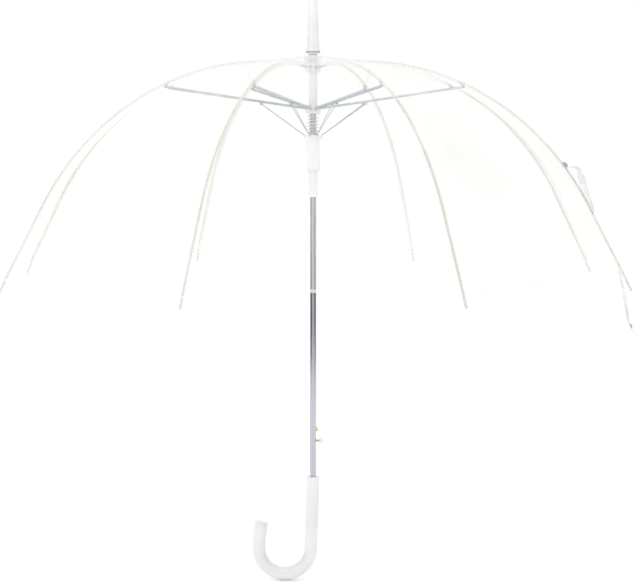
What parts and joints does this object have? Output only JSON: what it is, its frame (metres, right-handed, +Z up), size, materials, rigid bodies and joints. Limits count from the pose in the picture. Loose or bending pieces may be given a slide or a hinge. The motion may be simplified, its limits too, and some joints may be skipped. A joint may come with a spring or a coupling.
{
  "type": "stick umbrella",
  "caption": "Clear dome stick umbrella with folding ribs, spring-loaded runners, push-button latch and a white crook handle.",
  "frame": {"origin": "shaft axis at the handle's top rim, where the hand holds it", "axes": "+Z up the shaft to the ferrule, -X to the open side of the crook"},
  "size_m": [0.8668, 0.8594, 0.846],
  "materials": {
    "steel_tube": "bright",
    "handle_plastic": "gloss",
    "ferrule_plastic": "gloss",
    "hub_plastic": "gloss",
    "runner_plastic": "gloss",
    "rib_fibreglass": "satin",
    "stretcher_steel": "satin",
    "wire_steel": "bright",
    "spring_steel": "satin",
    "latch_brass": "satin",
    "clear_film": "gloss",
    "clear_plastic": "gloss",
    "snap_plastic": "gloss"
  },
  "bodies": {
    "shaft": {"shaft": "steel_tube", "handle": "handle_plastic", "ferrule": "ferrule_plastic", "top_notch": "hub_plastic", "stop_sleeve": "hub_plastic"},
    "upper_runner": {"upper_runner": "hub_plastic", "spring": "spring_steel"},
    "lower_runner": {"lower_runner": "runner_plastic"},
    "latch": {"latch_leaf": "latch_brass", "button_cap": "clear_plastic"},
    "rib_inner_1": {"rib_inner_1": "rib_fibreglass", "crown_panel_1": "clear_film"},
    "rib_outer_1": {"rib_outer_1": "rib_fibreglass", "canopy_panel_1": "clear_film", "closure_strap": "clear_film", "strap_snap": "snap_plastic"},
    "stretcher_1": {"stretcher_1": "stretcher_steel"},
    "strut_1": {"strut_1": "wire_steel"},
    "rib_inner_2": {"rib_inner_2": "rib_fibreglass", "crown_panel_2": "clear_film"},
    "rib_outer_2": {"rib_outer_2": "rib_fibreglass", "canopy_panel_2": "clear_film"},
    "stretcher_2": {"stretcher_2": "stretcher_steel"},
    "strut_2": {"strut_2": "wire_steel"},
    "rib_inner_3": {"rib_inner_3": "rib_fibreglass", "crown_panel_3": "clear_film"},
    "rib_outer_3": {"rib_outer_3": "rib_fibreglass", "canopy_panel_3": "clear_film"},
    "stretcher_3": {"stretcher_3": "stretcher_steel"},
    "strut_3": {"strut_3": "wire_steel"},
    "rib_inner_4": {"rib_inner_4": "rib_fibreglass", "crown_panel_4": "clear_film"},
    "rib_outer_4": {"rib_outer_4": "rib_fibreglass", "canopy_panel_4": "clear_film"},
    "stretcher_4": {"stretcher_4": "stretcher_steel"},
    "strut_4": {"strut_4": "wire_steel"},
    "rib_inner_5": {"rib_inner_5": "rib_fibreglass", "crown_panel_5": "clear_film"},
    "rib_outer_5": {"rib_outer_5": "rib_fibreglass", "canopy_panel_5": "clear_film"},
    "stretcher_5": {"stretcher_5": "stretcher_steel"},
    "strut_5": {"strut_5": "wire_steel"},
    "rib_inner_6": {"rib_inner_6": "rib_fibreglass", "crown_panel_6": "clear_film"},
    "rib_outer_6": {"rib_outer_6": "rib_fibreglass", "canopy_panel_6": "clear_film"},
    "stretcher_6": {"stretcher_6": "stretcher_steel"},
    "strut_6": {"strut_6": "wire_steel"},
    "rib_inner_7": {"rib_inner_7": "rib_fibreglass", "crown_panel_7": "clear_film"},
    "rib_outer_7": {"rib_outer_7": "rib_fibreglass", "canopy_panel_7": "clear_film"},
    "stretcher_7": {"stretcher_7": "stretcher_steel"},
    "strut_7": {"strut_7": "wire_steel"},
    "rib_inner_8": {"rib_inner_8": "rib_fibreglass", "crown_panel_8": "clear_film"},
    "rib_outer_8": {"rib_outer_8": "rib_fibreglass", "canopy_panel_8": "clear_film"},
    "stretcher_8": {"stretcher_8": "stretcher_steel"},
    "strut_8": {"strut_8": "wire_steel"}
  },
  "joints": [
    {"name": "canopy_fold", "type": "hinge", "parent": "shaft", "child": "rib_inner_1", "pos_m": [0.00888, -0.00337, 0.5815], "axis": [0.3551, 0.9348, 0], "range_deg": [0, 82], "stiffness_Nm_per_rad": 6.7, "springref_deg": -24.87, "deforming": ["crown_panel_1", "crown_panel_2", "crown_panel_3", "crown_panel_4", "crown_panel_5", "crown_panel_6", "crown_panel_7", "crown_panel_8", "canopy_panel_1", "canopy_panel_2", "canopy_panel_3", "canopy_panel_4", "canopy_panel_5", "canopy_panel_6", "canopy_panel_7", "canopy_panel_8", "closure_strap", "strap_snap", "spring", "latch_leaf"]},
    {"name": "rib_flex_1", "type": "hinge", "parent": "rib_inner_1", "child": "rib_outer_1", "pos_m": [0.20777, -0.07893, 0.55572], "axis": [0.3551, 0.9348, 0], "range_deg": [-42.11, 0.5]},
    {"name": "stretcher_turn_1", "type": "hinge", "parent": "rib_inner_1", "child": "stretcher_1", "pos_m": [0.20635, -0.07839, 0.55235], "axis": [0.3551, 0.9348, 0], "range_deg": [-165, 1]},
    {"name": "strut_turn_1", "type": "hinge", "parent": "stretcher_1", "child": "strut_1", "pos_m": [0.07362, -0.02797, 0.52972], "axis": [0.3551, 0.9348, 0], "range_deg": [-0.5, 26.65]},
    {"name": "rib_turn_2", "type": "hinge", "parent": "shaft", "child": "rib_inner_2", "pos_m": [0.00389, -0.00867, 0.5815], "axis": [0.9121, 0.4099, 0], "range_deg": [-0.5, 82.5]},
    {"name": "rib_flex_2", "type": "hinge", "parent": "rib_inner_2", "child": "rib_outer_2", "pos_m": [0.09111, -0.20273, 0.55572], "axis": [0.9121, 0.4099, 0], "range_deg": [-42.11, 0.5]},
    {"name": "stretcher_turn_2", "type": "hinge", "parent": "rib_inner_2", "child": "stretcher_2", "pos_m": [0.09049, -0.20134, 0.55235], "axis": [0.9121, 0.4099, 0], "range_deg": [-165, 1]},
    {"name": "strut_turn_2", "type": "hinge", "parent": "stretcher_2", "child": "strut_2", "pos_m": [0.03228, -0.07184, 0.52972], "axis": [0.9121, 0.4099, 0], "range_deg": [-0.5, 26.65]},
    {"name": "rib_turn_3", "type": "hinge", "parent": "shaft", "child": "rib_inner_3", "pos_m": [-0.00337, -0.00888, 0.5815], "axis": [0.9348, -0.3551, 0], "range_deg": [-0.5, 82.5]},
    {"name": "rib_flex_3", "type": "hinge", "parent": "rib_inner_3", "child": "rib_outer_3", "pos_m": [-0.07893, -0.20777, 0.55572], "axis": [0.9348, -0.3551, 0], "range_deg": [-42.11, 0.5]},
    {"name": "stretcher_turn_3", "type": "hinge", "parent": "rib_inner_3", "child": "stretcher_3", "pos_m": [-0.07839, -0.20635, 0.55235], "axis": [0.9348, -0.3551, 0], "range_deg": [-165, 1]},
    {"name": "strut_turn_3", "type": "hinge", "parent": "stretcher_3", "child": "strut_3", "pos_m": [-0.02797, -0.07362, 0.52972], "axis": [0.9348, -0.3551, 0], "range_deg": [-0.5, 26.65]},
    {"name": "rib_turn_4", "type": "hinge", "parent": "shaft", "child": "rib_inner_4", "pos_m": [-0.00867, -0.00389, 0.5815], "axis": [0.4099, -0.9121, 0], "range_deg": [-0.5, 82.5]},
    {"name": "rib_flex_4", "type": "hinge", "parent": "rib_inner_4", "child": "rib_outer_4", "pos_m": [-0.20273, -0.09111, 0.55572], "axis": [0.4099, -0.9121, 0], "range_deg": [-42.11, 0.5]},
    {"name": "stretcher_turn_4", "type": "hinge", "parent": "rib_inner_4", "child": "stretcher_4", "pos_m": [-0.20134, -0.09049, 0.55235], "axis": [0.4099, -0.9121, 0], "range_deg": [-165, 1]},
    {"name": "strut_turn_4", "type": "hinge", "parent": "stretcher_4", "child": "strut_4", "pos_m": [-0.07184, -0.03228, 0.52972], "axis": [0.4099, -0.9121, 0], "range_deg": [-0.5, 26.65]},
    {"name": "rib_turn_5", "type": "hinge", "parent": "shaft", "child": "rib_inner_5", "pos_m": [-0.00888, 0.00337, 0.5815], "axis": [-0.3551, -0.9348, 0], "range_deg": [-0.5, 82.5]},
    {"name": "rib_flex_5", "type": "hinge", "parent": "rib_inner_5", "child": "rib_outer_5", "pos_m": [-0.20777, 0.07893, 0.55572], "axis": [-0.3551, -0.9348, 0], "range_deg": [-42.11, 0.5]},
    {"name": "stretcher_turn_5", "type": "hinge", "parent": "rib_inner_5", "child": "stretcher_5", "pos_m": [-0.20635, 0.07839, 0.55235], "axis": [-0.3551, -0.9348, 0], "range_deg": [-165, 1]},
    {"name": "strut_turn_5", "type": "hinge", "parent": "stretcher_5", "child": "strut_5", "pos_m": [-0.07362, 0.02797, 0.52972], "axis": [-0.3551, -0.9348, 0], "range_deg": [-0.5, 26.65]},
    {"name": "rib_turn_6", "type": "hinge", "parent": "shaft", "child": "rib_inner_6", "pos_m": [-0.00389, 0.00867, 0.5815], "axis": [-0.9121, -0.4099, 0], "range_deg": [-0.5, 82.5]},
    {"name": "rib_flex_6", "type": "hinge", "parent": "rib_inner_6", "child": "rib_outer_6", "pos_m": [-0.09111, 0.20273, 0.55572], "axis": [-0.9121, -0.4099, 0], "range_deg": [-42.11, 0.5]},
    {"name": "stretcher_turn_6", "type": "hinge", "parent": "rib_inner_6", "child": "stretcher_6", "pos_m": [-0.09049, 0.20134, 0.55235], "axis": [-0.9121, -0.4099, 0], "range_deg": [-165, 1]},
    {"name": "strut_turn_6", "type": "hinge", "parent": "stretcher_6", "child": "strut_6", "pos_m": [-0.03228, 0.07184, 0.52972], "axis": [-0.9121, -0.4099, 0], "range_deg": [-0.5, 26.65]},
    {"name": "rib_turn_7", "type": "hinge", "parent": "shaft", "child": "rib_inner_7", "pos_m": [0.00337, 0.00888, 0.5815], "axis": [-0.9348, 0.3551, 0], "range_deg": [-0.5, 82.5]},
    {"name": "rib_flex_7", "type": "hinge", "parent": "rib_inner_7", "child": "rib_outer_7", "pos_m": [0.07893, 0.20777, 0.55572], "axis": [-0.9348, 0.3551, 0], "range_deg": [-42.11, 0.5]},
    {"name": "stretcher_turn_7", "type": "hinge", "parent": "rib_inner_7", "child": "stretcher_7", "pos_m": [0.07839, 0.20635, 0.55235], "axis": [-0.9348, 0.3551, 0], "range_deg": [-165, 1]},
    {"name": "strut_turn_7", "type": "hinge", "parent": "stretcher_7", "child": "strut_7", "pos_m": [0.02797, 0.07362, 0.52972], "axis": [-0.9348, 0.3551, 0], "range_deg": [-0.5, 26.65]},
    {"name": "rib_turn_8", "type": "hinge", "parent": "shaft", "child": "rib_inner_8", "pos_m": [0.00867, 0.00389, 0.5815], "axis": [-0.4099, 0.9121, 0], "range_deg": [-0.5, 82.5]},
    {"name": "rib_flex_8", "type": "hinge", "parent": "rib_inner_8", "child": "rib_outer_8", "pos_m": [0.20273, 0.09111, 0.55572], "axis": [-0.4099, 0.9121, 0], "range_deg": [-42.11, 0.5]},
    {"name": "stretcher_turn_8", "type": "hinge", "parent": "rib_inner_8", "child": "stretcher_8", "pos_m": [0.20134, 0.09049, 0.55235], "axis": [-0.4099, 0.9121, 0], "range_deg": [-165, 1]},
    {"name": "strut_turn_8", "type": "hinge", "parent": "stretcher_8", "child": "strut_8", "pos_m": [0.07184, 0.03228, 0.52972], "axis": [-0.4099, 0.9121, 0], "range_deg": [-0.5, 26.65]},
    {"name": "upper_runner_turn", "type": "hinge", "parent": "stretcher_1", "child": "upper_runner", "pos_m": [0.00888, -0.00337, 0.52319], "axis": [0.3551, 0.9348, 0], "range_deg": [-0.5, 82.5]},
    {"name": "lower_runner_slide", "type": "slide", "parent": "upper_runner", "child": "lower_runner", "axis": [0, 0, 1], "range_m": [-0.0005, 0.02815]},
    {"name": "button_press", "type": "slide", "parent": "shaft", "child": "latch", "axis": [-1, 0, 0], "range_m": [0, 0.0038], "stiffness_N_per_m": 400, "springref_m": -0.002}
  ],
  "couplings": [
    {"joint": "rib_flex_1", "follows": "canopy_fold", "ratio": -0.50748},
    {"joint": "stretcher_turn_1", "follows": "canopy_fold", "ratio": -2},
    {"joint": "strut_turn_1", "follows": "canopy_fold", "ratio": 0.31891},
    {"joint": "rib_turn_2", "follows": "canopy_fold", "ratio": 1},
    {"joint": "rib_flex_2", "follows": "canopy_fold", "ratio": -0.50748},
    {"joint": "stretcher_turn_2", "follows": "canopy_fold", "ratio": -2},
    {"joint": "strut_turn_2", "follows": "canopy_fold", "ratio": 0.31891},
    {"joint": "rib_turn_3", "follows": "canopy_fold", "ratio": 1},
    {"joint": "rib_flex_3", "follows": "canopy_fold", "ratio": -0.50748},
    {"joint": "stretcher_turn_3", "follows": "canopy_fold", "ratio": -2},
    {"joint": "strut_turn_3", "follows": "canopy_fold", "ratio": 0.31891},
    {"joint": "rib_turn_4", "follows": "canopy_fold", "ratio": 1},
    {"joint": "rib_flex_4", "follows": "canopy_fold", "ratio": -0.50748},
    {"joint": "stretcher_turn_4", "follows": "canopy_fold", "ratio": -2},
    {"joint": "strut_turn_4", "follows": "canopy_fold", "ratio": 0.31891},
    {"joint": "rib_turn_5", "follows": "canopy_fold", "ratio": 1},
    {"joint": "rib_flex_5", "follows": "canopy_fold", "ratio": -0.50748},
    {"joint": "stretcher_turn_5", "follows": "canopy_fold", "ratio": -2},
    {"joint": "strut_turn_5", "follows": "canopy_fold", "ratio": 0.31891},
    {"joint": "rib_turn_6", "follows": "canopy_fold", "ratio": 1},
    {"joint": "rib_flex_6", "follows": "canopy_fold", "ratio": -0.50748},
    {"joint": "stretcher_turn_6", "follows": "canopy_fold", "ratio": -2},
    {"joint": "strut_turn_6", "follows": "canopy_fold", "ratio": 0.31891},
    {"joint": "rib_turn_7", "follows": "canopy_fold", "ratio": 1},
    {"joint": "rib_flex_7", "follows": "canopy_fold", "ratio": -0.50748},
    {"joint": "stretcher_turn_7", "follows": "canopy_fold", "ratio": -2},
    {"joint": "strut_turn_7", "follows": "canopy_fold", "ratio": 0.31891},
    {"joint": "rib_turn_8", "follows": "canopy_fold", "ratio": 1},
    {"joint": "rib_flex_8", "follows": "canopy_fold", "ratio": -0.50748},
    {"joint": "stretcher_turn_8", "follows": "canopy_fold", "ratio": -2},
    {"joint": "strut_turn_8", "follows": "canopy_fold", "ratio": 0.31891},
    {"joint": "upper_runner_turn", "follows": "canopy_fold", "ratio": 1},
    {"joint": "lower_runner_slide", "follows": "canopy_fold", "m_per_rad": 0.019318}
  ]
}
